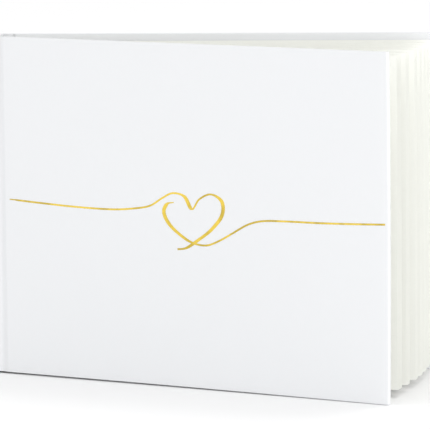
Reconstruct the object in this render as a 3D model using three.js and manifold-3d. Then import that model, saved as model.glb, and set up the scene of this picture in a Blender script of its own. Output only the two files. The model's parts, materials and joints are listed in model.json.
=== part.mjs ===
// Hardcover guest book standing ajar on its tail edges: a paper-covered case,
// six sewn sections of leaves and their endpapers, with a gold foil line heart.
// Millimetres, +Z up. The back cover lies along +X and the front cover opens
// towards -Y. The origin is on the table, under the middle of the open book.
import * as THREE from 'three';
import { mergeVertices } from 'three/addons/utils/BufferGeometryUtils.js';
import Module from 'manifold-3d';

const wasm = await Module();
wasm.setup();

// Case
const coverWidth = 240; // outside of the spine to the fore-edge
const coverHeight = 185;
const boardThickness = 2.5;
const spineBoardThickness = 2;
const jointWidth = 7; // between the spine board and a cover board
const wrapThickness = 0.25; // the white covering paper
const turnIn = 15; // how far the covering paper folds over the boards
const glueLine = 0.12;
const hingeClearance = 0.2; // each side of a hinge line
const past = 1; // lets a cutting box run clear of the face it cuts
const weldDistance = 1e-5; // corners closer than this are one

// Text block
const sectionCount = 6;
const leavesPerSection = 4;
const leafThickness = 0.2;
const leafAir = 0.22; // between neighbouring leaves in the closed book
const square = 4; // how far the boards stand past the leaves
const foldDepth = 3; // the sewn back of a section
const gutter = 3.5; // the stretch of a leaf that bends beside its fold
const closingGap = 0.5; // between the block and the pastedowns

// Spine linings
const hollow = 0.3; // between the case spine and the block's linings
const mullThickness = 0.2;
const mullFlapWidth = 25;
const liningMargin = 25; // linings stop this far from head and tail
const threadDiameter = 0.4;
const threadCount = 4;
const threadSides = 10;
const liningClearance = 0.1;
const bandBead = 1.7; // diameter of the head and tail bands' beads
const bandTape = 8; // height of the bands' tapes
const beadSides = 20;
const bandLift = 0.2; // between a bead and the ends of the folds

// Foil on the front cover. Points are [x, z] from the heart's middle.
const foilThickness = 0.08;
const foilLift = 0.05;
const foilWidth = 1;
const foilMargin = 1; // from each hairline's end to the board's start or the fore-edge
const foilSteps = 6; // short lengths between two points
const heartFromSpine = 124.8;
const heartFromTail = 92.5;
const startHeight = 4; // of the first hairline's start over the heart's middle
const endHeight = 2.5;
const overPoints = [
  [-62.4, 2], [-22, 5.5], [-15, 12.5], [-5, 11.5], [0, 4.5], [6, 12], [15, 12], [18, 3], [10, -7], [0, -14],
  [-7, -17],
];
const sweepPoints = [
  [-14, 6.5], [-18, 2], [-11, -7], [-1, -13.5], [9, -14.5], [22, -8.5], [35, -1.5], [48, 0.5], [66, 1],
];

// Angles at rest, degrees from the back cover towards the front cover
const coverAngle = 23.4;
const flyleafAngles = { front: 19.25, back: 1.2 };
const sectionAngles = [18.5, 15.5, 11.7, 8.9, 6, 3];
const leafStep = 0.3; // between neighbouring leaves of one section

// Layers across the thickness, measured from the middle of the block
const leafPitch = leafThickness + leafAir;
const sheetCount = sectionCount * leavesPerSection + 2;
const blockHalf = ((sheetCount - 1) * leafPitch + leafThickness) / 2;
const pastedownInside = blockHalf + closingGap;
const mullFlapInside = pastedownInside + leafThickness + glueLine;
const turnInInside = mullFlapInside + mullThickness + glueLine;
const boardInside = turnInInside + wrapThickness + glueLine;
const boardOutside = boardInside + boardThickness;
const wrapInside = boardOutside + glueLine;
const wrapOutside = wrapInside + wrapThickness;

// Layers from the outside of the spine towards the fore-edge
const spineBoardStart = wrapThickness + glueLine;
const spineBoardEnd = spineBoardStart + spineBoardThickness;
const spineTurnInStart = spineBoardEnd + glueLine;
const spineWrapEnd = spineTurnInStart + wrapThickness;
const coverHingeX = spineWrapEnd + hingeClearance;
const coverHingeY = wrapInside + wrapThickness / 2;
const boardStart = spineBoardEnd + jointWidth;
const liningStart = spineWrapEnd + hollow;
const mullStart = liningStart + mullThickness + liningClearance;
const threadStart = mullStart + mullThickness + liningClearance;
const foldStart = threadStart + threadDiameter + liningClearance;
const foldEnd = foldStart + foldDepth;
const leafHingeX = foldEnd + hingeClearance;
const leafStart = leafHingeX + gutter;
const leafEnd = coverWidth - square;

const paints = {
  wrap: { color: 0xf0f1f4, roughness: 0.62, metalness: 0 },
  leaf: { color: 0xf6f6ee, roughness: 0.85, metalness: 0 },
  board: { color: 0x9c978d, roughness: 0.95, metalness: 0 },
  cloth: { color: 0xe9e5da, roughness: 0.95, metalness: 0 },
  lining: { color: 0xb79a72, roughness: 0.9, metalness: 0 },
  foil: { color: 0xdcb64a, roughness: 0.25, metalness: 1 },
};

function addPart(group, name, geometry, paint) {
  const mesh = new THREE.Mesh(geometry, new THREE.MeshStandardMaterial(paint));
  mesh.name = name;
  group.add(mesh);
}

function slab([x0, x1], [y0, y1], [z0, z1]) {
  const geometry = new THREE.BoxGeometry(x1 - x0, Math.abs(y1 - y0), z1 - z0);
  geometry.translate((x0 + x1) / 2, (y0 + y1) / 2, (z0 + z1) / 2);
  return geometry;
}

function toManifold(geometry) {
  const bare = geometry.clone();
  bare.deleteAttribute('normal');
  bare.deleteAttribute('uv');
  const merged = mergeVertices(bare, weldDistance);
  const mesh = new wasm.Mesh({
    numProp: 3,
    vertProperties: new Float32Array(merged.attributes.position.array),
    triVerts: new Uint32Array(merged.index.array),
  });
  return new wasm.Manifold(mesh);
}

function toGeometry(solid) {
  const mesh = solid.getMesh();
  const geometry = new THREE.BufferGeometry();
  geometry.setAttribute('position', new THREE.BufferAttribute(mesh.vertProperties, 3));
  geometry.setIndex(new THREE.BufferAttribute(mesh.triVerts, 1));
  geometry.computeVertexNormals();
  return geometry;
}

function cut(body, ...tools) {
  return toGeometry(tools.reduce((left, tool) => left.subtract(toManifold(tool)), toManifold(body)));
}

function join(...bodies) {
  return toGeometry(bodies.map(toManifold).reduce((left, right) => left.add(right)));
}

// A group that turns about an upright line, holding pieces drawn in the closed book's frame.
function hinged(parent, x, y, degrees) {
  const pivot = new THREE.Group();
  pivot.position.set(x, y, 0);
  pivot.rotation.z = THREE.MathUtils.degToRad(degrees);
  const body = new THREE.Group();
  body.position.set(-x, -y, 0);
  pivot.add(body);
  parent.add(pivot);
  return body;
}

function addSpine(group) {
  const board = slab(
    [spineBoardStart, spineBoardEnd],
    [-boardOutside, boardOutside],
    [wrapThickness + glueLine, coverHeight - wrapThickness - glueLine],
  );
  addPart(group, 'spine_board', board, paints.board);

  const blank = slab([0, spineWrapEnd], [-wrapOutside, wrapOutside], [0, coverHeight]);
  const room = slab(
    [wrapThickness, spineTurnInStart],
    [-wrapInside, wrapInside],
    [wrapThickness, coverHeight - wrapThickness],
  );
  const window = slab(
    [wrapThickness, spineWrapEnd + past],
    [-wrapInside, wrapInside],
    [turnIn, coverHeight - turnIn],
  );
  addPart(group, 'spine_wrap', cut(blank, room, window), paints.wrap);
}

function addLinings(group) {
  const width = [-blockHalf, blockHalf];
  const height = [liningMargin, coverHeight - liningMargin];
  const lining = slab([liningStart, liningStart + mullThickness], width, height);
  addPart(group, 'spine_lining', lining, paints.lining);
  const mull = slab([mullStart, mullStart + mullThickness], width, height);
  addPart(group, 'mull', mull, paints.cloth);

  const threadSpan = height[1] - height[0];
  for (let i = 0; i < threadCount; i += 1) {
    const radius = threadDiameter / 2;
    const thread = new THREE.CylinderGeometry(radius, radius, 2 * blockHalf, threadSides);
    const z = height[0] + (threadSpan * (i + 0.5)) / threadCount;
    thread.translate(threadStart + radius, 0, z);
    addPart(group, `sewing_thread_${i + 1}`, thread, paints.cloth);
  }
}

// A band is a tape glued behind the folds with a round bead over their ends.
function addBand(group, name, foldsEnd, outward) {
  const tapeEnds = [foldsEnd - outward * bandTape, foldsEnd + outward * (bandLift + bandBead / 2)];
  const tape = slab(
    [threadStart, threadStart + threadDiameter],
    [-blockHalf, blockHalf],
    tapeEnds.sort((a, b) => a - b),
  );
  const bead = new THREE.CylinderGeometry(bandBead / 2, bandBead / 2, 2 * blockHalf, beadSides);
  bead.translate(threadStart + bandBead / 2, 0, foldsEnd + outward * (bandLift + bandBead / 2));
  addPart(group, name, join(tape, bead), paints.cloth);
}

function sheetY(index) {
  return (index - (sheetCount - 1) / 2) * leafPitch;
}

function addFolds(group) {
  const height = [square, coverHeight - square];
  for (let section = 0; section < sectionCount; section += 1) {
    const first = 1 + section * leavesPerSection;
    const last = first + leavesPerSection - 1;
    const thickness = [sheetY(first) - leafThickness / 2, sheetY(last) + leafThickness / 2];
    const fold = slab([foldStart, foldEnd], thickness, height);
    addPart(group, `section_fold_${section + 1}`, fold, paints.leaf);
  }
  for (const [name, index] of [['front', 0], ['back', sheetCount - 1]]) {
    const thickness = [sheetY(index) - leafThickness / 2, sheetY(index) + leafThickness / 2];
    addPart(group, `${name}_endpaper_fold`, slab([foldStart, foldEnd], thickness, height), paints.leaf);
  }
}

// Everything on one cover. side is -1 for the front cover and +1 for the back cover.
function addCover(group, name, side) {
  const layer = (inside, outside) => [side * inside, side * outside];
  const board = slab(
    [boardStart, coverWidth - wrapThickness - glueLine],
    layer(boardInside, boardOutside),
    [wrapThickness + glueLine, coverHeight - wrapThickness - glueLine],
  );
  addPart(group, `${name}_board`, board, paints.board);

  const blank = slab(
    [coverHingeX + hingeClearance, coverWidth],
    layer(turnInInside, wrapOutside),
    [0, coverHeight],
  );
  const room = slab(
    [0, coverWidth - wrapThickness],
    layer(turnInInside + wrapThickness, wrapInside),
    [wrapThickness, coverHeight - wrapThickness],
  );
  const joint = slab([0, boardStart], layer(turnInInside - past, wrapInside), [-past, coverHeight + past]);
  const window = slab(
    [0, coverWidth - turnIn],
    layer(turnInInside - past, wrapInside),
    [turnIn, coverHeight - turnIn],
  );
  addPart(group, `${name}_cover_wrap`, cut(blank, room, joint, window), paints.wrap);

  const flap = slab(
    [boardStart, boardStart + mullFlapWidth],
    layer(mullFlapInside, mullFlapInside + mullThickness),
    [liningMargin, coverHeight - liningMargin],
  );
  addPart(group, `${name}_mull_flap`, flap, paints.cloth);

  const pastedown = slab(
    [boardStart, coverWidth - square],
    layer(pastedownInside, pastedownInside + leafThickness),
    [square, coverHeight - square],
  );
  addPart(group, `${name}_pastedown`, pastedown, paints.leaf);
}

function addLeaf(parent, name, index, angle) {
  const y = sheetY(index);
  const body = hinged(parent, leafHingeX, y, coverAngle / 2 - angle);
  const leaf = slab(
    [leafStart, leafEnd],
    [y - leafThickness / 2, y + leafThickness / 2],
    [square, coverHeight - square],
  );
  addPart(body, name, leaf, paints.leaf);
}

// A flat band of even width along a smooth curve through points [x, z] on the front cover.
function ribbon(points) {
  const stops = points.map(([x, z]) => new THREE.Vector3(x, z, 0));
  const curve = new THREE.CatmullRomCurve3(stops, false, 'centripetal');
  const steps = foilSteps * (points.length - 1);
  const left = [];
  const right = [];
  for (let i = 0; i <= steps; i += 1) {
    const at = curve.getPointAt(i / steps);
    const along = curve.getTangentAt(i / steps);
    const offset = new THREE.Vector2(-along.y, along.x).multiplyScalar(foilWidth / 2);
    left.push(new THREE.Vector2(at.x, at.y).add(offset));
    right.unshift(new THREE.Vector2(at.x, at.y).sub(offset));
  }
  const outline = new THREE.Shape([...left, ...right]);
  const geometry = new THREE.ExtrudeGeometry(outline, { depth: foilThickness, bevelEnabled: false });
  geometry.rotateX(Math.PI / 2); // the curve's height becomes z and its depth runs to -y
  geometry.translate(0, -wrapOutside - foilLift, 0);
  return geometry;
}

// A hairline from the spine runs over a heart and down its right side; a second
// stroke falls down the left side, crosses at the tip and sweeps to the fore-edge.
function addFoil(group) {
  const place = ([x, z]) => [heartFromSpine + x, heartFromTail + z];
  const start = [boardStart + foilMargin, heartFromTail + startHeight];
  const end = [coverWidth - foilMargin, heartFromTail + endHeight];
  const overStroke = ribbon([start, ...overPoints.map(place)]);
  const sweepStroke = ribbon([...sweepPoints.map(place), end]);
  addPart(group, 'foil_heart_line', join(overStroke, sweepStroke), paints.foil);
}

// The spine faces back along the middle of the opening, so the back cover lies along +X.
const book = new THREE.Group();
book.rotation.z = THREE.MathUtils.degToRad(-coverAngle / 2);
addSpine(book);
addLinings(book);
addBand(book, 'head_band', coverHeight - square, 1);
addBand(book, 'tail_band', square, -1);
addFolds(book);

const frontCover = hinged(book, coverHingeX, -coverHingeY, -coverAngle / 2);
addCover(frontCover, 'front', -1);
addFoil(frontCover);
const backCover = hinged(book, coverHingeX, coverHingeY, coverAngle / 2);
addCover(backCover, 'back', 1);

addLeaf(book, 'front_flyleaf', 0, flyleafAngles.front);
for (let section = 0; section < sectionCount; section += 1) {
  for (let i = 0; i < leavesPerSection; i += 1) {
    const index = 1 + section * leavesPerSection + i;
    const angle = sectionAngles[section] - (i - (leavesPerSection - 1) / 2) * leafStep;
    addLeaf(book, `leaf_${String(index).padStart(2, '0')}`, index, angle);
  }
}
addLeaf(book, 'back_flyleaf', sheetCount - 1, flyleafAngles.back);

const guestBook = new THREE.Group();
guestBook.add(book);
guestBook.updateMatrixWorld(true);
const bounds = new THREE.Box3().setFromObject(guestBook, true);
const centre = bounds.getCenter(new THREE.Vector3());
book.position.set(-centre.x, -centre.y, -bounds.min.z);
guestBook.updateMatrixWorld(true);

export default guestBook;
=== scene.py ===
"""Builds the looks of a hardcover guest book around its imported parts.

The pieces are drawn in the shut book's frame, in metres: u runs from the outside
of the spine towards the fore-edge, v from the middle of the block towards the
back cover, and z from the tail up to the head. They are then opened to rest.
"""

import json
import math
from itertools import product

import bpy
from mathutils import Matrix, Vector


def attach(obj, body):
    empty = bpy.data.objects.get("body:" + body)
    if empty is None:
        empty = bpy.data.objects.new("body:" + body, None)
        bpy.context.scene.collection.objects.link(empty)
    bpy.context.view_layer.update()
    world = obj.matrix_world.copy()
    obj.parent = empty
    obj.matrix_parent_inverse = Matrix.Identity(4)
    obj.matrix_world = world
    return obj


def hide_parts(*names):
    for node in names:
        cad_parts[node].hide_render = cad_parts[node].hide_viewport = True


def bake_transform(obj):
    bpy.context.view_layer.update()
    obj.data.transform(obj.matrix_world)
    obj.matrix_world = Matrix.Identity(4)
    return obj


bl_info = {
    "name": "Guest Book",
    "version": (1, 0, 0),
    "blender": (4, 5, 0),
    "location": "View3D > Sidebar > Guest Book",
    "description": "Builds the case, leaves, bands and foil of a hardcover guest book",
    "category": "Object",
}

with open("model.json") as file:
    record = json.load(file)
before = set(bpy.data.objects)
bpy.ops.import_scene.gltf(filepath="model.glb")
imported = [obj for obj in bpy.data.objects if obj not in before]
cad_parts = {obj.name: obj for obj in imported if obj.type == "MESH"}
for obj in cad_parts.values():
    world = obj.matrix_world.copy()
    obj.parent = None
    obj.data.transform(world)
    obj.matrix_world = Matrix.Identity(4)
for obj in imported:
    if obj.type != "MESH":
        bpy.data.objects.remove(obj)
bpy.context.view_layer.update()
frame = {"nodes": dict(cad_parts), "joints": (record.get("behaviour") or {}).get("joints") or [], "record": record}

MM = 0.001
SIDES = {"front": -1, "back": 1}
RECORD = frame["record"]["behaviour"]
JOINTS = {joint["child"]: joint for joint in frame["joints"]}
RATIOS = {coupling["joint"]: coupling["ratio"] for coupling in RECORD["couplings"]}
SHUT_TURN = JOINTS["front_cover"]["range_deg"][0]  # the driving hinge's value when shut
LEAVES = [body for body in RECORD["bodies"] if body.startswith("leaf_")]
FLYLEAVES = ["front_flyleaf", "back_flyleaf"]
SECTIONS = [node for node in frame["nodes"] if node.startswith("section_fold_")]
LEAVES_PER_SECTION = len(LEAVES) // len(SECTIONS)

# Grids
PAPER_STEP = 6 * MM  # between the lines of a flat stretch of paper
SAME_LINE = 0.05 * MM  # lines closer than this count as one
ROUND_LINES = (0.0, 0.3, 0.65)  # shares of a rounded edge's radius that get a line
RIDGE_LINES = (0.0, 0.7 * MM, 1.3 * MM, 2.0 * MM)  # over the edge of a sheet that lies beneath
CLEAR = 0.03 * MM  # between pieces that all but touch

# The front cover's hollow tail: shares of the tail lift
LIFT_AT_SPINE = 1.15
LIFT_AT_EDGE = 0.2
LIFT_BETWEEN = 0.25
TAIL_HEIGHT = 25 * MM  # above this the paper is straight


# ---- the frame


def opened(body):
    """The move that takes a body from the shut book to its place at rest."""
    if body == "spine":
        return Matrix.Identity(4)
    joint = JOINTS[body]
    ratio = RATIOS.get(joint["name"], 1.0)
    angle = -math.radians(SHUT_TURN * ratio) * joint["axis"][2]
    pivot = Matrix.Translation(joint["pos_m"])
    return pivot @ Matrix.Rotation(angle, 4, "Z") @ pivot.inverted()


def spine_corner():
    """The place of the shut book's frame: outside of the spine, middle of the block."""
    turned = Matrix.Rotation(math.radians(SHUT_TURN), 4, "Z")
    local = [turned.inverted() @ v.co for v in frame["nodes"]["spine_wrap"].data.vertices]
    across = [point.y for point in local]
    outside = min(point.x for point in local)
    return Matrix.Translation(turned @ Vector((outside, (min(across) + max(across)) / 2, 0))) @ turned


SHUT = spine_corner()


def body_of(node):
    """The body that a CAD node belongs to."""
    return next(body for body, nodes in RECORD["bodies"].items() if node in nodes)


def shut_box(node):
    """A CAD node's lowest and highest corner in the shut book's frame."""
    move = (opened(body_of(node)) @ SHUT).inverted()
    points = [move @ v.co for v in frame["nodes"][node].data.vertices]
    low = Vector([min(p[i] for p in points) for i in range(3)])
    high = Vector([max(p[i] for p in points) for i in range(3)])
    return low, high


EDGE = shut_box("front_cover_wrap")[1].x


def smooth(value, start, end):
    """0 before start, 1 after end and a smooth step between."""
    t = min(max((value - start) / (end - start), 0.0), 1.0)
    return t * t * (3 - 2 * t)


def raised(point):
    """The height of a point; the tail of the front cover is slightly hollow."""
    u, v, z = point
    along = u / EDGE
    arch = LIFT_AT_SPINE + (LIFT_AT_EDGE - LIFT_AT_SPINE) * along
    arch += LIFT_BETWEEN * math.sin(math.pi * along)
    lift = settings().case.tail_lift * arch * smooth(-v, -5 * MM, 5 * MM)
    return z + lift * (1 - smooth(z, 0, TAIL_HEIGHT))


def place(point, body, bend=None):
    """A point of the shut book, opened with its body; bend is where a hinge starts and ends."""
    still = SHUT @ Vector((point[0], point[1], raised(point)))
    moved = opened(body) @ still
    share = smooth(point[0], *bend) if bend else 1.0
    return still.lerp(moved, share)


def hang(piece, body, bend, vs, z):
    """Bakes a piece's transform into its mesh; bend and vs are its first and last u and v, and like body and z
    they are not used.
    """
    start = place((bend[0], vs[0], z), "spine")
    end = place((bend[1], vs[1], z), body)
    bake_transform(piece)


# ---- plain meshes


def spaced(start, end, step):
    """Even values from start to end, about step apart."""
    count = max(1, round((end - start) / step))
    return [start + (end - start) * i / count for i in range(count + 1)]


def rimmed(start, end, radius, step):
    """Values from start to end that are close together within radius of both ends."""
    near = [share * radius for share in ROUND_LINES]
    middle = spaced(start + radius, end - radius, step)
    return [start + d for d in near] + middle + [end - d for d in reversed(near)]


def with_lines(values, *extra):
    """The values with more lines among them, in order."""
    kept = [v for v in values if all(abs(v - e) > SAME_LINE for e in extra)]
    return sorted(kept + list(extra))


def box_surface(lines, keep):
    """The outside of a box on three lists of grid lines, without the faces that keep refuses."""
    points, index, faces = [], {}, []

    def corner(key):
        if key not in index:
            index[key] = len(points)
            points.append(Vector([lines[axis][key[axis]] for axis in range(3)]))
        return index[key]

    for axis, far in product(range(3), (False, True)):
        first, second = (axis + 1) % 3, (axis + 2) % 3
        end = len(lines[axis]) - 1 if far else 0
        for i, j in product(range(len(lines[first]) - 1), range(len(lines[second]) - 1)):
            keys = []
            for a, b in ((i, j), (i + 1, j), (i + 1, j + 1), (i, j + 1)):
                key = [0, 0, 0]
                key[axis], key[first], key[second] = end, a, b
                keys.append(tuple(key))
            centre = [sum(lines[n][k[n]] for k in keys) / 4 for n in range(3)]
            if keep(axis, far, centre):
                loop = [corner(key) for key in keys]
                faces.append(loop if far else loop[::-1])
    return points, faces


def rounded(points, lines, radius):
    """The same points with the box's edges and corners rounded."""
    bounds = [(line[0] + radius, line[-1] - radius) for line in lines]
    result = []
    for point in points:
        core = Vector([min(max(value, low), high) for value, (low, high) in zip(point, bounds)])
        away = point - core
        result.append(core + away.normalized() * radius if away.length > 0 else point.copy())
    return result


SOFT, FIRM = 35.0, 50.0  # degrees that two faces turn by before the edge between them stays sharp


def linked(name, data):
    """A new object in the scene."""
    made = bpy.data.objects.new(name, data)
    bpy.context.scene.collection.objects.link(made)
    return made


def new_piece(name, points, faces, material, sharp=SOFT):
    """A mesh object at the origin with its place in its mesh."""
    mesh = bpy.data.meshes.new(name)
    mesh.from_pydata([tuple(p) for p in points], [], faces)
    mesh.validate()
    piece = linked(name, mesh)
    mesh.materials.append(material)
    soften(piece, sharp)
    return piece


def soften(piece, sharp):
    """Smooth shading up to the sharp angle, in degrees."""
    piece.data.shade_smooth()
    piece.data.set_sharp_from_angle(angle=math.radians(sharp))


def finished(piece):
    """Turns the piece's modifiers into plain mesh."""
    bpy.context.view_layer.update()
    shown = piece.evaluated_get(bpy.context.evaluated_depsgraph_get())
    mesh = bpy.data.meshes.new_from_object(shown)
    piece.modifiers.clear()
    piece.data = mesh


def give_thickness(piece, thickness):
    """Grows the open sheet inwards into a closed body."""
    solidify = piece.modifiers.new("Thickness", "SOLIDIFY")
    solidify.thickness = thickness
    solidify.offset = -1.0
    solidify.use_even_offset = True
    finished(piece)
    soften(piece, FIRM)


def sheet_body(name, us, zs, middle, thickness, side, settle, material):
    """A closed thin sheet over a grid of u and z; middle gives its distance from the block's middle."""
    points = []
    for layer, u, z in product((-0.5, 0.5), us, zs):
        out = middle(u, z) + layer * thickness
        points.append(settle((u, side * out, z)))
    return new_piece(name, points, sheet_faces(len(us), len(zs), side > 0), material)


def sheet_faces(wide, tall, outwards):
    """The faces of a closed sheet whose two layers are grids of wide by tall points."""
    faces = []

    def at(layer, i, j):
        return (layer * wide + i) * tall + j

    for i, j in product(range(wide - 1), range(tall - 1)):
        quad = [(i, j), (i + 1, j), (i + 1, j + 1), (i, j + 1)]
        faces.append([at(0, a, b) for a, b in quad])
        faces.append([at(1, a, b) for a, b in reversed(quad)])
    border = [(i, 0) for i in range(wide)] + [(wide - 1, j) for j in range(1, tall)]
    border += [(i, tall - 1) for i in range(wide - 2, -1, -1)]
    border += [(0, j) for j in range(tall - 2, 0, -1)]
    for here, there in zip(border, border[1:] + border[:1]):
        faces.append([at(0, *there), at(0, *here), at(1, *here), at(1, *there)])
    return faces if outwards else [face[::-1] for face in faces]


def strip_body(name, path, zs, thickness, side, settle, material):
    """A closed thin sheet along a path of (u, v) that is drawn upwards over zs."""
    layers = []
    for layer in (-0.5, 0.5):
        row = []
        for index, (u, v) in enumerate(path):
            before, after = path[max(0, index - 1)], path[min(len(path) - 1, index + 1)]
            along = Vector((after[0] - before[0], after[1] - before[1])).normalized()
            row.append((u - along.y * layer * thickness, v + along.x * layer * thickness))
        layers.append(row)
    points = [settle((u, v, z)) for row in layers for u, v in row for z in zs]
    return new_piece(name, points, sheet_faces(len(path), len(zs), side > 0), material)


# ---- graphs


class Wire:
    """A socket that Python's operators join with Math nodes."""

    def __init__(self, graph, socket):
        self.graph, self.socket = graph, socket

    def math(self, operation, *values):
        inputs = dict(enumerate((self, *values)))
        return self.graph.node("ShaderNodeMath", {"operation": operation}, inputs)[0]

    def __add__(self, other):
        return self.math("ADD", other)

    def __sub__(self, other):
        return self.math("SUBTRACT", other)

    def __mul__(self, other):
        return self.math("MULTIPLY", other)

    def __truediv__(self, other):
        return self.math("DIVIDE", other)

    def __rsub__(self, other):
        return (self * -1.0) + other

    def __pow__(self, other):
        return self.math("POWER", other)

    __radd__ = __add__
    __rmul__ = __mul__


class Outputs:
    """A node's outputs by name or number."""

    def __init__(self, graph, node):
        self.graph, self.all = graph, node.outputs

    def __getitem__(self, key):
        return Wire(self.graph, self.all[key])


class Graph:
    """A node tree that nodes are added to by type, settings and inputs."""

    def __init__(self, tree):
        self.tree = tree

    def node(self, kind, settings=None, inputs=None):
        made = self.tree.nodes.new(kind)
        for name, value in (settings or {}).items():
            if name == "stops":
                self.set_stops(made.color_ramp, value)
            else:
                setattr(made, name, value)
        for key, value in (inputs or {}).items():
            self.feed(made.inputs[key], value)
        return Outputs(self, made)

    def feed(self, socket, value):
        if isinstance(value, (list, tuple)) and isinstance(value[0], Wire):
            for wire in value:
                self.tree.links.new(wire.socket, socket)
        elif isinstance(value, Wire):
            self.tree.links.new(value.socket, socket)
        else:
            socket.default_value = value

    @staticmethod
    def set_stops(ramp, stops):
        while len(ramp.elements) < len(stops):
            ramp.elements.new(1.0)
        for element, (position, shade) in zip(ramp.elements, stops):
            element.position = position
            element.color = (shade, shade, shade, 1.0)


def smooth_step(graph, value, start, end, low=0.0, high=1.0):
    """Low before start, high after end and a smooth step between."""
    inputs = {"Value": value, "From Min": start, "From Max": end, "To Min": low, "To Max": high}
    return graph.node("ShaderNodeMapRange", {"interpolation_type": "SMOOTHSTEP"}, inputs)["Result"]


class Paint(Graph):
    """A material around one Principled shader."""

    def __init__(self, name, **constants):
        self.material = bpy.data.materials.new(name)
        self.material.use_nodes = True
        super().__init__(self.material.node_tree)
        self.shader = self.tree.nodes["Principled BSDF"]
        for socket, value in constants.items():
            self.shader.inputs[socket.replace("_", " ")].default_value = value
        self.place = self.node("ShaderNodeTexCoord")["Object"]

    def noise(self, scale, detail=3.0, roughness=0.5, stretch=None):
        at = self.place
        if stretch:
            at = self.node("ShaderNodeMapping", None, {"Vector": at, "Scale": stretch})["Vector"]
        inputs = {"Vector": at, "Scale": scale, "Detail": detail, "Roughness": roughness}
        return self.node("ShaderNodeTexNoise", None, inputs)["Fac"]

    def ramp(self, value, stops):
        return self.node("ShaderNodeValToRGB", {"stops": stops}, {"Fac": value})["Color"]

    def blend(self, factor, first, second):
        inputs = {0: factor, 6: first, 7: second}  # a Mix node's factor and colour sockets
        return self.node("ShaderNodeMix", {"data_type": "RGBA"}, inputs)[2]

    def colour(self, value):
        self.feed(self.shader.inputs["Base Color"], value)

    def rough(self, value):
        self.feed(self.shader.inputs["Roughness"], value)

    def bump(self, height, distance, strength=1.0):
        inputs = {"Height": height, "Distance": distance, "Strength": strength}
        self.feed(self.shader.inputs["Normal"], self.node("ShaderNodeBump", None, inputs)["Normal"])


def tinted(colour, share):
    """A colour, lighter or darker by a share, as a socket takes it."""
    return (*[min(1.0, channel * share) for channel in colour], 1.0)


# ---- materials


def covering_paper():
    """Smooth white covering paper with a faint calendered grain."""
    white = settings().case.paper
    paint = Paint("covering_paper", Sheen_Weight=0.08, Sheen_Roughness=0.4)
    cloud = paint.noise(9.0, 2.0)
    fibre = paint.noise(700.0, 4.0, 0.6, (1.0, 1.0, 0.45))
    tone = paint.blend(cloud, tinted(white, 0.985), tinted(white, 1.0))
    paint.colour(paint.blend(fibre * 0.25, tone, tinted(white, 0.93)))
    paint.rough(0.48 + fibre * 0.12 + cloud * 0.04)
    grain = paint.noise(1600.0, 3.0, 0.55)
    paint.bump(grain + fibre * 0.6, 0.02 * MM, 0.35)
    return paint.material


def leaf_paper(name, share):
    """Uncoated cream paper: loose fibres, a clouded look and a soft tooth."""
    cream = settings().block.paper
    paint = Paint(name, Sheen_Weight=0.05)
    formation = paint.noise(60.0, 3.0)
    fibre = paint.noise(420.0, 5.0, 0.65, (0.5, 0.5, 1.0))
    fleck = paint.ramp(paint.noise(900.0, 2.0), [(0.66, 0.0), (0.74, 1.0)])
    fleck = paint.node("ShaderNodeRGBToBW", None, {0: fleck})[0]
    base = paint.blend(formation, tinted(cream, 0.975 * share), tinted(cream, share))
    fibred = paint.blend(fibre * 0.3, base, tinted(cream, 0.9 * share))
    paint.colour(paint.blend(fleck * 0.12, fibred, tinted(cream, 0.72)))
    paint.rough(0.8 + fibre * 0.12)
    paint.bump(paint.noise(1300.0, 4.0, 0.6) + fibre * 0.5, 0.04 * MM, 0.4)
    return paint.material


def grey_board():
    """Binder's board pressed from grey pulp with darker and lighter scraps."""
    paint = Paint("grey_board")
    pulp = paint.noise(260.0, 6.0, 0.7)
    scrap = paint.noise(120.0, 2.0, 0.5, (1.0, 1.0, 2.5))
    paint.colour(paint.blend(pulp, (0.2, 0.19, 0.17, 1.0), (0.46, 0.44, 0.4, 1.0)))
    paint.rough(0.86 + scrap * 0.1)
    paint.bump(pulp + scrap * 0.5, 0.1 * MM, 0.6)
    return paint.material


WAVE_LENGTH = 0.31  # a wave texture's period at a scale of 1


def book_cloth(name, thread, gap, pitch):
    """Plain woven cloth: over and under threads a pitch apart."""
    paint = Paint(name, Sheen_Weight=0.3)
    waves = []
    for stretch in ((1.0, 1.0, 0.0), (0.0, 0.0, 1.0)):
        at = paint.node("ShaderNodeMapping", None, {"Vector": paint.place, "Scale": stretch})["Vector"]
        inputs = {"Vector": at, "Scale": WAVE_LENGTH / pitch, "Distortion": 0.4}
        across = "Z" if stretch[2] else "DIAGONAL"
        waves.append(paint.node("ShaderNodeTexWave", {"bands_direction": across}, inputs)["Fac"])
    weave = waves[0].math("MAXIMUM", waves[1])
    fuzz = paint.noise(2500.0, 3.0)
    paint.colour(paint.blend(weave * (0.8 + fuzz * 0.2), gap, thread))
    paint.rough(0.8 + fuzz * 0.15)
    paint.bump(weave + fuzz * 0.3, 0.08 * MM, 0.7)
    return paint.material


def kraft_lining():
    """Brown lining paper with long fibres."""
    paint = Paint("kraft_lining")
    fibre = paint.noise(320.0, 6.0, 0.7, (1.0, 1.0, 0.3))
    paint.colour(paint.blend(fibre, (0.3, 0.19, 0.1, 1.0), (0.55, 0.4, 0.25, 1.0)))
    paint.rough(0.75 + fibre * 0.15)
    paint.bump(fibre, 0.05 * MM, 0.5)
    return paint.material


def gold_foil():
    """Hot-stamped foil: bright metal that follows the paper's grain."""
    gold = settings().foil.gold
    paint = Paint("gold_foil", Metallic=1.0)
    breaks = paint.noise(450.0, 4.0, 0.6)
    sweep = smooth_step(paint, paint.noise(110.0, 2.0), 0.35, 0.65)
    tone = paint.blend(sweep, tinted(gold, 0.78), tinted(gold, 1.22))
    paint.colour(paint.blend(breaks * 0.4, tone, tinted(gold, 0.66)))
    paint.rough(0.2 + breaks * 0.16)
    paint.bump(paint.noise(1500.0, 3.0), 0.02 * MM, 0.3)
    return paint.material


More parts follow.
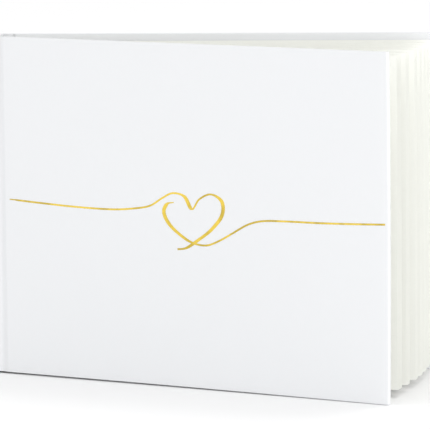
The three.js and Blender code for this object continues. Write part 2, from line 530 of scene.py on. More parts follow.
FINISHES = {
    "covering": covering_paper,
    "leaf": lambda: leaf_paper("leaf_paper", 1.0),
    "endpaper": lambda: leaf_paper("endpaper", 1.01),
    "board": grey_board,
    "lining": kraft_lining,
    "mull": lambda: book_cloth("mull_cloth", (0.8, 0.78, 0.7, 1), (0.45, 0.43, 0.38, 1), 0.9 * MM),
    "band": lambda: book_cloth("band_cloth", (0.9, 0.88, 0.8, 1), (0.6, 0.57, 0.5, 1), 0.35 * MM),
    "thread": lambda: book_cloth("linen_thread", (0.85, 0.83, 0.75, 1), (0.55, 0.52, 0.45, 1), 0.25 * MM),
    "foil": gold_foil,
}
MATERIALS = {}


def finish(name):
    """The material of a finish, made the first time that it is asked for."""
    if name not in MATERIALS:
        MATERIALS[name] = FINISHES[name]()
    return MATERIALS[name]


# ---- settings


def size(name, description, length):
    return bpy.props.FloatProperty(name=name, description=description, default=length, unit="LENGTH")


def shade(name, description, colour):
    return bpy.props.FloatVectorProperty(
        name=name, description=description, default=colour, subtype="COLOR"
    )


def power(name, description, watts):
    return bpy.props.FloatProperty(name=name, description=description, default=watts, unit="POWER")


class CaseSettings(bpy.types.PropertyGroup):
    bow: size("Bow", "How far a board's fore-edge warps outwards", 1.0 * MM)
    corner_lift: size("Corner Lift", "How much further the corners warp", 0.9 * MM)
    edge_radius: size("Edge Radius", "Roundness of the paper over the boards", 0.35 * MM)
    groove: size("Groove", "Depth of the pressed joint", 0.7 * MM)
    tail_lift: size("Tail Lift", "Gap under the hollow tail of the front cover", 0.85 * MM)
    turn_in: size("Turn-in", "Width of the paper folded over the boards", 15 * MM)
    paper: shade("Paper", "Colour of the covering paper", (0.79, 0.8, 0.815))


class BlockSettings(bpy.types.PropertyGroup):
    bend: size("Bend", "Length of a leaf that bends beside its fold", 6 * MM)
    cockle: size("Cockle", "Height of the leaves' slight waves", 0.25 * MM)
    paper: shade("Paper", "Colour of the leaves", (0.945, 0.95, 0.905))


class FoilSettings(bpy.types.PropertyGroup):
    hairline: size("Hairline", "Width of the thin strokes", 1.0 * MM)
    downstroke: size("Downstroke", "Width of the strokes drawn downwards", 2.1 * MM)
    gold: shade("Gold", "Colour of the foil", (0.7, 0.52, 0.09))


class StageSettings(bpy.types.PropertyGroup):
    sky: bpy.props.FloatProperty(name="Sky", description="Strength of the light all round", default=0.94)
    key: power("Key", "Power of the soft light above", 52.0)
    left: power("Left", "Power of the light on the left", 0.25)
    right: power("Right", "Power of the light on the right", 9.5)


class BookSettings(bpy.types.PropertyGroup):
    case: bpy.props.PointerProperty(type=CaseSettings, name="Case", description="Boards and paper")
    block: bpy.props.PointerProperty(type=BlockSettings, name="Block", description="The leaves")
    foil: bpy.props.PointerProperty(type=FoilSettings, name="Foil", description="The gold line")
    stage: bpy.props.PointerProperty(type=StageSettings, name="Stage", description="The light")


def settings():
    return bpy.context.scene.guest_book


# ---- the case


class Cover:
    """Measures of one cover in the shut book's frame, with v counted outwards."""

    SEAM_SHARE = 0.55  # of the way to the hinge, where the covers' paper meets the spine's
    JOINT_STOP = 2 * MM  # the joint's bend ends this far before the board
    FOLD = 1.1 * MM  # thickness of the paper's folded edge where it has no board inside
    FILLING = 1.2 * MM  # length over which the folded edge opens to take the board
    GROOVE_SHARE = 0.8  # of the way to the hinge, where the pressed groove starts
    GROOVE_OVERLAP = 0.3 * MM  # the groove ends this far past the board's start

    def __init__(self, name):
        self.name, self.side, self.body = name, SIDES[name], f"{name}_cover"
        low, high = shut_box(f"{name}_cover_wrap")
        board_low, board_high = shut_box(f"{name}_board")
        self.inside, self.outside = sorted((abs(low.y), abs(high.y)))
        self.hinge = low.x
        self.edge, self.height = high.x, high.z
        self.board_start, self.board_end = board_low.x, board_high.x
        self.board_low, self.board_high = board_low.z, board_high.z
        self.board_layers = sorted((abs(board_low.y), abs(board_high.y)))
        self.seam = self.SEAM_SHARE * self.hinge
        self.joint = (self.seam, self.board_start - self.JOINT_STOP)

    def facing(self, faces):
        """Faces drawn for the back cover, turned round on the front cover."""
        return faces if self.side > 0 else [face[::-1] for face in faces]

    def warp(self, u, z):
        """How far the board has warped outwards."""
        case = settings().case
        along = max(0.0, (u - self.board_start) / (self.board_end - self.board_start))
        up = 2 * z / self.height - 1
        return along**2 * (case.bow + case.corner_lift * up**2)

    def groove(self, u):
        """Depth of the pressed joint beside the board."""
        start = self.hinge * self.GROOVE_SHARE
        end = self.board_start + self.GROOVE_OVERLAP
        if not start < u < end:
            return 0.0
        return settings().case.groove * math.sin(math.pi * (u - start) / (end - start)) ** 2

    def shaped(self, point):
        """The warped and pressed place of a point of the paper whose v counts outwards."""
        u, out, z = point
        filled = smooth(u, self.board_start - self.FILLING, self.board_start)
        depth = self.outside - out
        full, radius = self.outside - self.inside, settings().case.edge_radius
        flat = min(max(depth - radius, 0.0), full - 2 * radius)  # what lies between the round edges
        depth -= flat * (1 - (self.FOLD - 2 * radius) / (full - 2 * radius)) * (1 - filled)
        out = self.outside - depth - self.groove(u) + self.warp(u, z)
        return place((u, self.side * out, z), self.body, self.joint)


def paper_thickness():
    low, high = shut_box("spine_wrap")
    board_low, _ = shut_box("spine_board")
    return (board_low.x - low.x) * 2 / 3


# Lines of the covers' paper, counted from its seam and closer together beside it
JOINT_LINES = [d * MM for d in (0.0, 0.4, 0.8, 1.4, 2.0, 2.7, 3.4, 4.1, 4.8, 5.5, 6.2, 6.9)]


class BOOK_OT_covers(bpy.types.Operator):
    """Wraps each cover board in white paper, turned in over its edges"""

    bl_idname = "book.covers"
    bl_label = "Covers"

    def execute(self, context):
        for name in SIDES:
            self.wrap(Cover(name))
        return {"FINISHED"}

    def wrap(self, cover):
        case = settings().case
        radius, turn_in = case.edge_radius, case.turn_in
        on_board = rimmed(cover.board_start, cover.edge, radius, PAPER_STEP)[len(ROUND_LINES) :]
        us = with_lines(
            [cover.seam + d for d in JOINT_LINES] + on_board, cover.board_start, cover.edge - turn_in
        )
        outs = rimmed(cover.inside, cover.outside, radius, 1 * MM)
        zs = with_lines(
            rimmed(0.0, cover.height, radius, PAPER_STEP), turn_in, cover.height - turn_in
        )
        lines = (us, outs, zs)

        def keep(axis, far, centre):
            u, _, z = centre
            if axis == 0:
                return far
            if axis == 1 and not far:
                return not (turn_in < z < cover.height - turn_in and u < cover.edge - turn_in)
            return True

        points, faces = box_surface(lines, keep)
        solid = [[us[0] - radius, *us], outs, zs]  # the joint's end stays square
        points = [cover.shaped(p) for p in rounded(points, solid, radius)]
        faces = cover.facing(faces)
        piece = new_piece(f"{cover.name}_cover_paper", points, faces, finish("covering"))
        give_thickness(piece, paper_thickness())
        v = cover.side * cover.outside
        hang(piece, cover.body, cover.joint, (v, v), cover.height / 2)
        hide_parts(f"{cover.name}_cover_wrap")


class BOOK_OT_boards(bpy.types.Operator):
    """Warps each cover board to fit its paper"""

    bl_idname = "book.boards"
    bl_label = "Boards"

    def execute(self, context):
        for name in SIDES:
            cover = Cover(name)
            radius, step = 0.3 * MM, 12 * MM
            lines = (
                rimmed(cover.board_start, cover.board_end, radius, step),
                rimmed(*cover.board_layers, radius, 2 * MM),
                rimmed(cover.board_low, cover.board_high, radius, step),
            )
            points, faces = box_surface(lines, lambda *_: True)
            points = rounded(points, lines, radius)
            outs = [cover.side * (p.y + cover.warp(p.x, p.z)) for p in points]
            points = [place((p.x, out, p.z), cover.body) for p, out in zip(points, outs)]
            faces = cover.facing(faces)
            piece = new_piece(f"{name}_board_core", points, faces, finish("board"), FIRM)
            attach(piece, cover.body)
            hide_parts(f"{name}_board")
        return {"FINISHED"}


class BOOK_OT_spine(bpy.types.Operator):
    """Wraps the spine board in paper that meets the covers' paper round its edges"""

    bl_idname = "book.spine"
    bl_label = "Spine"
    THROUGH_STEP, ACROSS_STEP = 0.5 * MM, 1.5 * MM

    def execute(self, context):
        case = settings().case
        radius, turn_in = case.edge_radius, case.turn_in
        low, high = shut_box("spine_wrap")
        cover = Cover("front")
        seam, reach = cover.seam, cover.outside - cover.FOLD + 0.9 * radius
        lines = (
            with_lines(rimmed(low.x, high.x, radius, self.THROUGH_STEP), seam),
            with_lines(rimmed(low.y, high.y, radius, self.ACROSS_STEP), -reach, reach),
            with_lines(rimmed(0.0, high.z, radius, PAPER_STEP), turn_in, high.z - turn_in),
        )

        def keep(axis, far, centre):
            u, v, z = centre
            if u > seam and abs(v) > reach:
                return False  # the covers' paper takes over here
            return not (axis == 0 and far and turn_in < z < high.z - turn_in)

        points, faces = box_surface(lines, keep)
        points = [place(p, "spine") for p in rounded(points, lines, radius)]
        piece = new_piece("spine_paper", points, faces, finish("covering"))
        give_thickness(piece, paper_thickness())
        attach(piece, "spine")
        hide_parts("spine_wrap")
        return {"FINISHED"}


class BOOK_OT_pastedowns(bpy.types.Operator):
    """Lays each pastedown over the turn-ins and across the joint to its fold"""

    bl_idname = "book.pastedowns"
    bl_label = "Pastedowns"

    def execute(self, context):
        for name in SIDES:
            self.lay(Cover(name))
        return {"FINISHED"}

    def lay(self, cover):
        turn_in = settings().case.turn_in
        low, high = shut_box(f"{cover.name}_pastedown")
        fold_low, fold_high = shut_box(f"{cover.name}_endpaper_fold")
        thickness = high.y - low.y
        resting = abs(low.y + high.y) / 2
        folded = abs(fold_low.y + fold_high.y) / 2
        start = fold_high.x + CLEAR
        hinge = (start, cover.board_start)  # one straight strip, so that it stays clear of the leaves
        flap_end = shut_box(f"{cover.name}_mull_flap")[1].x
        settled = cover.board_start + 1.5 * MM  # where the paper has come down on the board
        sink = 0.2 * MM  # how far it sinks beside the turn-ins and the mull
        ease = RIDGE_LINES[-1]

        def middle(u, z):
            out = folded + (resting - folded) * smooth(u, start, settled)
            inside = smooth(u, flap_end, flap_end + ease)
            for margin in (z, cover.height - z, cover.edge - u):
                inside *= smooth(margin, turn_in, turn_in + ease)
            return out + sink * inside + cover.warp(u, z)

        ridges = [turn_in + d for d in RIDGE_LINES]
        fine_end = start + 6 * MM
        beside_fold = spaced(cover.board_start, fine_end, 0.7 * MM)
        us = with_lines(
            [start, *beside_fold, *spaced(fine_end + 2 * MM, high.x, PAPER_STEP)],
            *[cover.edge - ridge for ridge in ridges],
            *[flap_end + d for d in RIDGE_LINES],
        )
        zs = with_lines(
            spaced(low.z, high.z, PAPER_STEP), *ridges, *[cover.height - ridge for ridge in ridges]
        )
        piece = sheet_body(
            f"{cover.name}_pastedown_paper",
            us,
            zs,
            middle,
            thickness,
            cover.side,
            lambda point: place(point, cover.body, hinge),
            finish("endpaper"),
        )
        vs = (cover.side * folded, cover.side * resting)
        hang(piece, cover.body, hinge, vs, cover.height / 2)
        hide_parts(f"{cover.name}_pastedown")


class BOOK_OT_mull(bpy.types.Operator):
    """Runs the mull from the middle of the spine round to each cover board"""

    bl_idname = "book.mull"
    bl_label = "Mull"

    def execute(self, context):
        for name in SIDES:
            self.lay(Cover(name))
        return {"FINISHED"}

    def lay(self, cover):
        low, high = shut_box("mull")
        flap_low, flap_high = shut_box(f"{cover.name}_mull_flap")
        thickness = high.x - low.x
        spine_u, flap_v = (low.x + high.x) / 2, abs(flap_low.y + flap_high.y) / 2
        turn, steps = 0.9 * MM, 6  # the bend round the block's shoulder
        path = [(spine_u, v) for v in spaced(0.0, flap_v - turn, 1 * MM)]
        for step in range(1, steps + 1):
            angle = math.pi / 2 * step / steps
            bent_u, bent_v = turn * (1 - math.cos(angle)), turn * (1 - math.sin(angle))
            path.append((spine_u + bent_u, flap_v - bent_v))
        path += [(u, flap_v) for u in spaced(spine_u + turn + 0.8 * MM, flap_high.x, 1 * MM)]
        hinge = (cover.hinge + 0.5 * MM, cover.board_start + 1 * MM)

        def middle(point):
            u, v, z = point
            out = v + cover.warp(u, z)
            return place((u, cover.side * out, z), cover.body, hinge)

        name, zs = f"{cover.name}_mull_cloth", spaced(low.z, high.z, 9 * MM)
        piece = strip_body(name, path, zs, thickness, cover.side, middle, finish("mull"))
        v = cover.side * flap_v
        hang(piece, cover.body, hinge, (v, v), cover.height / 2)
        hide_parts(f"{cover.name}_mull_flap", "mull")


# ---- the block


def tree_with(name, numbers, **others):
    """A new Geometry Nodes tree's graph and inputs: others first, then numbers and a material."""
    tree = bpy.data.node_groups.new(name, "GeometryNodeTree")
    kinds = {**others, **dict.fromkeys(numbers, "Float"), "Material": "Material"}
    for label, kind in kinds.items():
        socket = tree.interface.new_socket(label, in_out="INPUT", socket_type=f"NodeSocket{kind}")
        if label in numbers:
            socket.default_value = numbers[label]
    tree.interface.new_socket("Geometry", in_out="OUTPUT", socket_type="NodeSocketGeometry")
    graph = Graph(tree)
    return graph, graph.node("NodeGroupInput")


def close_tree(graph, geometry, material):
    """Ends a tree in Realize Instances and Set Material."""
    real = graph.node("GeometryNodeRealizeInstances", None, {"Geometry": geometry})["Geometry"]
    painted = graph.node("GeometryNodeSetMaterial", None, {"Geometry": real, "Material": material})
    graph.node("NodeGroupOutput", None, {"Geometry": painted["Geometry"]})
    return graph.tree


def grown(name, mesh, tree, values):
    """An object made by a Geometry Nodes tree with its inputs set, as plain mesh."""
    piece = linked(name, mesh or bpy.data.meshes.new(name))
    modifier = piece.modifiers.new("Grow", "NODES")
    modifier.node_group = tree
    inputs = {item.name: item.identifier for item in tree.interface.items_tree if item.in_out == "INPUT"}
    for label, value in values.items():
        modifier[inputs[label]] = value
    finished(piece)
    piece.data.materials.clear()
    piece.data.materials.append(values["Material"])
    piece.data.polygons.foreach_set("material_index", [0] * len(piece.data.polygons))
    return piece


def vector(graph, **parts):
    """A vector from its X, Y and Z."""
    return graph.node("ShaderNodeCombineXYZ", None, parts)["Vector"]


def grid_box(graph, size, columns, rows):
    """A box whose broad sides are divided into a grid."""
    inputs = {"Size": size, **dict(zip(("Vertices X", "Vertices Y", "Vertices Z"), (*columns, rows)))}
    return graph.node("GeometryNodeMeshCube", None, inputs)["Mesh"]


def swept(graph, curve, profile, scale):
    """A profile swept along a curve, with its ends closed."""
    inputs = {"Curve": curve, "Profile Curve": profile, "Scale": scale, "Fill Caps": True}
    return graph.node("GeometryNodeCurveToMesh", None, inputs)["Mesh"]


INSIDE_FOLD = 0.7  # the share of a leaf's bend that lies before its pivot
CROWDING = 1.6  # how strongly a leaf's columns crowd towards its fold
ROOT_THICKNESS = 0.3  # share of a leaf's thickness that is left at its fold
FADE_IN = 0.7  # the share of a leaf's length over which its waves grow
LEAF_COLUMNS, LEAF_ROWS = 72, 28


def sway(graph, spot, seed, scale, detail):
    """Slow noise over a place, another one for each seed."""
    inputs = {"Vector": spot, "W": seed, "Scale": scale, "Detail": detail}
    return graph.node("ShaderNodeTexNoise", {"noise_dimensions": "4D"}, inputs)["Fac"]


def leaf_tree():
    """A sheet that leaves its fold along u and turns about an upright line beside it."""
    block = {"Start": 0.0, "Length": 0.2, "Low": 0.0, "Height": 0.17, "Middle": 0.0}
    sheet = {"Thickness": 0.2 * MM, "Bend": 6 * MM, "Cockle": 0.2 * MM, "Seed": 0.0}
    graph, given = tree_with("turned_sheet", {**block, **sheet, "Pivot": 0.0, "Turn": 0.0})
    size = vector(graph, X=given["Length"], Y=given["Thickness"], Z=given["Height"])
    slab = grid_box(graph, size, (LEAF_COLUMNS, 2), LEAF_ROWS)
    position = graph.node("GeometryNodeInputPosition")["Position"]
    at = graph.node("ShaderNodeSeparateXYZ", None, {0: position})
    share = (at["X"] / given["Length"]) + 0.5
    u = given["Start"] + given["Length"] * share**CROWDING
    z = given["Low"] + given["Height"] * 0.5 + at["Z"]
    bend_end = given["Start"] + given["Bend"]
    early = given["Pivot"] - given["Bend"] * INSIDE_FOLD  # so that the leaf leaves its fold with a crease
    turned = smooth_step(graph, u, early, early + given["Bend"])
    depth = at["Y"] * smooth_step(graph, u, given["Start"], bend_end, ROOT_THICKNESS, 1.0)
    spot = vector(graph, X=u, Z=z)
    shared = sway(graph, spot, 3.0, 16.0, 1.0)  # neighbours wave alike and stay clear
    own = sway(graph, spot, given["Seed"], 11.0, 0.0)
    fade = smooth_step(graph, u, given["Start"], given["Start"] + given["Length"] * FADE_IN)
    lift = (shared - 0.5 + (own - 0.5) * 0.3) * given["Cockle"] * 2.0 * fade
    v = given["Middle"] + depth + lift
    flat = vector(graph, X=u, Y=v, Z=z)
    turning = {"Vector": flat, "Center": vector(graph, X=given["Pivot"], Y=given["Middle"])}
    turning["Angle"] = given["Turn"]
    swung = graph.node("ShaderNodeVectorRotate", {"rotation_type": "Z_AXIS"}, turning)["Vector"]
    bent = graph.node("ShaderNodeMix", {"data_type": "VECTOR"}, {0: turned, 4: flat, 5: swung})[1]
    sheet = graph.node("GeometryNodeSetPosition", None, {"Geometry": slab, "Position": bent})["Geometry"]
    return close_tree(graph, sheet, given["Material"])


class BOOK_OT_leaves(bpy.types.Operator):
    """Grows every leaf and flyleaf from its fold, each turned to its own place"""

    bl_idname = "book.leaves"
    bl_label = "Leaves"

    def execute(self, context):
        tree = leaf_tree()
        block = settings().block
        fold_end = shut_box(SECTIONS[0])[1].x
        for number, body in enumerate(LEAVES + FLYLEAVES):
            low, high = shut_box(body)
            middle = (low.y + high.y) / 2
            pivot = SHUT.inverted() @ Vector(JOINTS[body]["pos_m"])
            start = fold_end + CLEAR
            is_fly = body in FLYLEAVES
            values = {
                "Start": start,
                "Length": high.x - start,
                "Low": low.z,
                "Height": high.z - low.z,
                "Middle": middle,
                "Thickness": high.y - low.y,
                "Pivot": pivot.x,
                "Turn": opened(body).to_euler().z,
                "Bend": block.bend,
                "Cockle": block.cockle,
                "Seed": float(number),
                "Material": finish("endpaper") if is_fly else finish("leaf"),
            }
            piece = grown(f"{body}_paper", None, tree, values)
            piece.data.transform(SHUT)
            soften(piece, 60.0)
            early = pivot.x - block.bend * INSIDE_FOLD
            bend = (early, early + block.bend)
            hang(piece, body, bend, (middle, middle), (low.z + high.z) / 2)
            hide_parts(body)
        return {"FINISHED"}


ARC_STEPS = 12  # of the half circle in a folded sheet


def folded_strip(radius, centre, end, thickness, low, high):
    """A sheet folded round a half circle, as the points and faces of a closed strip."""
    arc = [math.pi * (0.5 + i / ARC_STEPS) for i in range(ARC_STEPS + 1)]
    back_u, back_v = centre

    def line(grow):
        reach = radius + grow
        bow = [(back_u + reach * math.cos(a), back_v + reach * math.sin(a)) for a in arc]
        return [(end, back_v + reach), *bow, (end, back_v - reach)]

    outer, inner = line(thickness / 2), line(-thickness / 2)
    ring = outer + inner[::-1]
    points = [(u, v, z) for z in (low, high) for u, v in ring]
    count, half = len(ring), len(outer)
    faces = [[i, (i + 1) % count, (i + 1) % count + count, i + count] for i in range(count)]
    for i in range(half - 1):
        quad = [i, i + 1, count - 2 - i, count - 1 - i]
        faces.append(quad[::-1])
        faces.append([index + count for index in quad])
    return points, faces


class BOOK_OT_folds(bpy.types.Operator):
    """Nests each section's folded sheets one inside the other"""

    bl_idname = "book.folds"
    bl_label = "Section Folds"

    def execute(self, context):
        for number, node in enumerate(sorted(SECTIONS)):
            low, high = shut_box(node)
            first = number * LEAVES_PER_SECTION
            rows = [shut_box(leaf) for leaf in sorted(LEAVES)[first : first + LEAVES_PER_SECTION]]
            heights = [(a.y + b.y) / 2 for a, b in rows]
            thickness = rows[0][1].y - rows[0][0].y
            centre_v = (low.y + high.y) / 2
            outer = (heights[-1] - heights[0]) / 2
            points, faces = [], []
            for sheet in range(LEAVES_PER_SECTION // 2):
                radius = (heights[-1 - sheet] - heights[sheet]) / 2
                centre = (low.x + outer + thickness / 2, centre_v)
                more, quads = folded_strip(radius, centre, high.x, thickness, low.z, high.z)
                faces += [[i + len(points) for i in quad] for quad in quads]
                points += more
            placed = [place(p, "spine") for p in points]
            piece = new_piece(f"folded_sheets_{number + 1}", placed, faces, finish("leaf"))
            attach(piece, "spine")
            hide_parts(node)
        return {"FINISHED"}


TURN_POINTS = 6.0  # along the bead for each turn of its thread
CORE_SHARE, THREAD_SHARE = 0.42, 0.08  # of the bead's width, on either side of its middle


def band_tree():
    """A tape with a bead along its top, wound with thread a pitch apart."""
    tape = {"Tape": 8 * MM, "Tape Thickness": 0.4 * MM}
    graph, given = tree_with("wound_band", {"Length": 10 * MM, "Bead": 1.7 * MM, "Pitch": 0.6 * MM, **tape})
    ends = {end: vector(graph, Y=given["Length"] * way) for end, way in (("Start", -0.5), ("End", 0.5))}
    core = graph.node("GeometryNodeCurvePrimitiveLine", None, ends)["Curve"]
    count = given["Length"] / given["Pitch"] * TURN_POINTS
    fine = graph.node("GeometryNodeResampleCurve", None, {"Curve": core, "Count": count})["Curve"]
    index = graph.node("GeometryNodeInputIndex")["Index"]
    ridge = (index * (math.pi / TURN_POINTS)).math("SINE").math("ABSOLUTE")
    circle = {"Resolution": 20, "Radius": 1.0}
    ring = graph.node("GeometryNodeCurvePrimitiveCircle", None, circle)["Curve"]
    bead = swept(graph, fine, ring, given["Bead"] * (CORE_SHARE + ridge * THREAD_SHARE))
    size = vector(graph, X=given["Tape Thickness"], Y=given["Length"], Z=given["Tape"])
    tape = grid_box(graph, size, (2, 6), 6)
    back = (given["Bead"] - given["Tape Thickness"]) * -0.5
    shift = vector(graph, X=back, Z=given["Tape"] * -0.5)
    hung = graph.node("GeometryNodeTransform", None, {"Geometry": tape, "Translation": shift})["Geometry"]
    both = graph.node("GeometryNodeJoinGeometry", None, {"Geometry": [bead, hung]})["Geometry"]
    return close_tree(graph, both, given["Material"])


class BOOK_OT_bands(bpy.types.Operator):
    """Winds the head and tail bands over the ends of the folds"""

    bl_idname = "book.bands"
    bl_label = "Bands"

    def execute(self, context):
        tree = band_tree()
        for name, up in (("head_band", 1), ("tail_band", -1)):
            low, high = shut_box(name)
            bead = high.x - low.x
            values = {
                "Length": high.y - low.y,
                "Bead": bead,
                "Pitch": 0.6 * MM,
                "Tape": high.z - low.z - bead / 2,
                "Tape Thickness": 0.4 * MM,
                "Material": finish("band"),
            }
            piece = grown(f"wound_{name}", None, tree, values)
            rise = high.z - bead / 2 if up > 0 else low.z + bead / 2
            centre = Vector(((low.x + high.x) / 2, (low.y + high.y) / 2, rise))
            flip = Matrix.Rotation(0.0 if up > 0 else math.pi, 4, "X")
            piece.data.transform(SHUT @ Matrix.Translation(centre) @ flip)
            soften(piece, 45.0)
            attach(piece, "spine")
            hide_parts(name)
        return {"FINISHED"}


# ---- the foil

# Points of the two strokes, in millimetres from the middle of the heart. The pen
# comes from the spine, draws both lobes and ends below the tip; the second stroke
# falls down the left side and leaves for the fore-edge.
OVER = [
    (-113, 4), (-95, 3), (-72, 2), (-50, 1.8), (-36, 3), (-26, 5), (-18.5, 9.5), (-12, 12.5), (-5, 11),
    (-0.5, 4.5), (4, 10), (11, 13), (17.5, 9.5), (17.5, 2), (11, -6), (3, -12), (-4, -16.5), (-9.5, -17.5),
]
SWEEP = [
    (-11.5, 7.5), (-15.5, 6.5), (-17.5, 2), (-14.5, -4), (-8, -9.5), (-0.5, -13.5), (8, -14.5), (16, -11.5),
    (24, -7), (33, -2), (42, 0.4), (56, 1), (76, 1.2), (96, 1.8), (113.5, 2.5),
]
HEART = (0.52, 0.5)  # shares of the cover's width and height


FALL = (0.12, 0.95)  # how steeply the pen falls where the stroke starts to widen and is widest
TAPER = (0.04, 0.55)  # length and width of a stroke's tapered start, as shares


def stroke_tree():
    """A pen stroke: thin where the pen climbs or runs level, thick where it falls."""
    sizes = {"Hairline": 0.7 * MM, "Downstroke": 2 * MM, "Spacing": 0.4 * MM}
    graph, given = tree_with("pen_stroke", sizes, Path="Geometry")
    line = graph.node("GeometryNodeMeshToCurve", None, {0: given["Path"]})["Curve"]
    smoothed = {"spline_type": "CATMULL_ROM"}
    bent = graph.node("GeometryNodeCurveSplineType", smoothed, {"Curve": line})["Curve"]
    fine = graph.node("GeometryNodeSetSplineResolution", None, {0: bent, "Resolution": 16})[0]
    spacing = {"Curve": fine, "Length": given["Spacing"]}
    even = graph.node("GeometryNodeResampleCurve", {"mode": "LENGTH"}, spacing)["Curve"]
    upright = graph.node("GeometryNodeSetCurveNormal", {"mode": "Z_UP"}, {0: even})[0]
    tangent = graph.node("GeometryNodeInputTangent")["Tangent"]
    heading = graph.node("ShaderNodeSeparateXYZ", None, {0: tangent})
    falling = (heading["Y"] * -1.0).math("MAXIMUM", 0.0)
    along = graph.node("GeometryNodeSplineParameter")["Factor"]
    heavy = smooth_step(graph, falling, *FALL)
    wide = given["Hairline"] + (given["Downstroke"] - given["Hairline"]) * heavy
    ends = smooth_step(graph, along, 0.0, *TAPER, 1.0)
    flat = {"Width": 2.0, "Height": 0.1}
    nib = graph.node("GeometryNodeCurvePrimitiveQuadrilateral", None, flat)["Curve"]
    return close_tree(graph, swept(graph, upright, nib, wide * ends * 0.5), given["Material"])


class BOOK_OT_foil(bpy.types.Operator):
    """Stamps the gold line and its heart on the front cover"""

    bl_idname = "book.foil"
    bl_label = "Foil"

    def execute(self, context):
        cover, foil = Cover("front"), settings().foil
        tree = stroke_tree()
        centre = Vector((cover.edge * HEART[0], cover.height * HEART[1], 0))
        lift = CLEAR
        for name, points in (("foil_heart_stroke", OVER), ("foil_sweep_stroke", SWEEP)):
            path = bpy.data.meshes.new(name)
            spots = [centre + Vector((x * MM, y * MM, 0)) for x, y in points]
            path.from_pydata(spots, [(i, i + 1) for i in range(len(spots) - 1)], [])
            values = {"Hairline": foil.hairline, "Downstroke": foil.downstroke}
            piece = grown(name, path, tree, {**values, "Material": finish("foil")})
            for vertex in piece.data.vertices:
                u, z, out = vertex.co
                out += cover.outside + lift + cover.warp(u, z)
                vertex.co = place((u, -out, z), cover.body)
            lift += CLEAR  # the second stroke lies on the first where they cross
            soften(piece, FIRM)
            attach(piece, cover.body)
            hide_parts("foil_heart_line")
        return {"FINISHED"}


# ---- inner finishes


class BOOK_OT_inner_finishes(bpy.types.Operator):
    """Gives the linings, threads and folds inside the spine their materials"""

    bl_idname = "book.inner_finishes"
    bl_label = "Inner Finishes"

    def execute(self, context):
        thread = finish("thread")
        finishes = {
            "spine_board": finish("board"),
            "spine_lining": finish("lining"),
            "front_endpaper_fold": finish("endpaper"),
            "back_endpaper_fold": finish("endpaper"),
        }
        for name, node in frame["nodes"].items():
            if name.startswith("sewing_thread"):
                finishes[name] = thread
            if name in finishes:
                node.data.materials.clear()
                node.data.materials.append(finishes[name])
        return {"FINISHED"}


# ---- the stage


FLOOR_REACH = 4.0
LAMPS = {  # sizes and places in metres
    "key": ((2.0, 2.0), (1.4, 1.75, 5.6)),
    "left": ((0.4, 0.5), (-0.6, -0.5, 0.25)),
    "right": ((0.8, 0.6), (1.2, -1.3, 0.4)),
}
LAMPS_AIM = (0, 0, 0.09)
CAMERA_PLACE = (0.1741, -2.2121, 0.3896)
CAMERA_TURN = (-4.407, 7.63, -0.565)  # degrees to the right, down and round the view
SENSOR, LENS = 36.0, 350.83  # millimetres


def area_light(name, power, size, spot):
    lamp = bpy.data.lights.new(name, "AREA")
    lamp.energy, lamp.shape = power, "RECTANGLE"
    lamp.size, lamp.size_y = size
    holder = linked(name, lamp)
    holder.location = spot
    holder.rotation_euler = (Vector(LAMPS_AIM) - Vector(spot)).to_track_quat("-Z", "Y").to_euler()


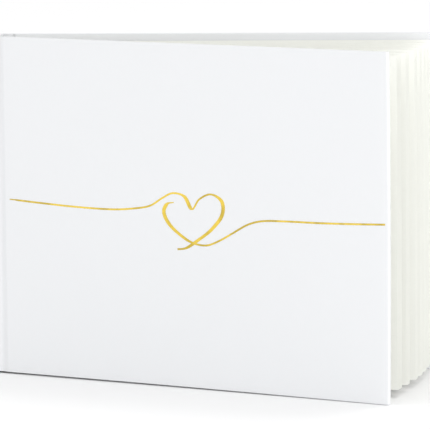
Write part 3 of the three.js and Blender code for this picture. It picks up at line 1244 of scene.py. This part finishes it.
class BOOK_OT_stage(bpy.types.Operator):
    """Sets the white floor, the soft light and the camera"""

    bl_idname = "book.stage"
    bl_label = "Stage"

    def execute(self, context):
        self.floor()
        self.light(settings().stage)
        self.camera(context.scene)
        context.scene.view_settings.view_transform = "Standard"
        return {"FINISHED"}

    def floor(self):
        reach = FLOOR_REACH
        paint = Paint("white_floor", Roughness=0.9)
        cloud = paint.noise(1.5, 2.0)
        paint.colour(paint.blend(cloud, (0.93, 0.93, 0.93, 1), (0.94, 0.94, 0.94, 1)))
        corners = [(-reach, -reach, 0), (reach, -reach, 0), (reach, reach, 0), (-reach, reach, 0)]
        new_piece("floor", corners, [[0, 1, 2, 3]], paint.material)

    def light(self, stage):
        world = bpy.data.worlds.new("white_room")
        world.use_nodes = True
        backdrop = world.node_tree.nodes["Background"]
        backdrop.inputs["Color"].default_value = (1, 1, 1, 1)
        backdrop.inputs["Strength"].default_value = stage.sky
        bpy.context.scene.world = world
        for name, (size, spot) in LAMPS.items():
            area_light(name, getattr(stage, name), size, spot)

    def camera(self, scene):
        lens = bpy.data.cameras.new("camera")
        lens.sensor_width, lens.lens = SENSOR, LENS
        lens.clip_end = 20.0
        heading, pitch, roll = (math.radians(angle) for angle in CAMERA_TURN)
        turned = Matrix.Rotation(-heading, 4, "Z") @ Matrix.Rotation(math.pi / 2 - pitch, 4, "X")
        turned = turned @ Matrix.Rotation(roll, 4, "Z")
        holder = linked("camera", lens)
        holder.matrix_world = Matrix.Translation(CAMERA_PLACE) @ turned
        scene.camera = holder


# ---- the panel


class BOOK_PT_panel(bpy.types.Panel):
    """Buttons for every piece of the book"""

    bl_idname = "BOOK_PT_panel"
    bl_label = "Guest Book"
    bl_space_type = "VIEW_3D"
    bl_region_type = "UI"
    bl_category = "Guest Book"

    def draw(self, context):
        for operator in OPERATORS:
            self.layout.operator(operator.bl_idname)


OPERATORS = (
    BOOK_OT_covers,
    BOOK_OT_boards,
    BOOK_OT_spine,
    BOOK_OT_pastedowns,
    BOOK_OT_mull,
    BOOK_OT_leaves,
    BOOK_OT_folds,
    BOOK_OT_bands,
    BOOK_OT_foil,
    BOOK_OT_inner_finishes,
    BOOK_OT_stage,
)
SETTINGS = (CaseSettings, BlockSettings, FoilSettings, StageSettings, BookSettings)
CLASSES = (*SETTINGS, *OPERATORS, BOOK_PT_panel)


def register():
    for cls in CLASSES:
        bpy.utils.register_class(cls)
    bpy.types.Scene.guest_book = bpy.props.PointerProperty(
        type=BookSettings, name="Guest Book", description="Sizes and colours of the guest book"
    )


def unregister():
    del bpy.types.Scene.guest_book
    for cls in reversed(CLASSES):
        bpy.utils.unregister_class(cls)


def main():
    register()
    bpy.ops.book.covers()
    bpy.ops.book.boards()
    bpy.ops.book.spine()
    bpy.ops.book.pastedowns()
    bpy.ops.book.mull()
    bpy.ops.book.leaves()
    bpy.ops.book.folds()
    bpy.ops.book.bands()
    bpy.ops.book.foil()
    bpy.ops.book.inner_finishes()
    bpy.ops.book.stage()


if __name__ == "__main__":
    main()
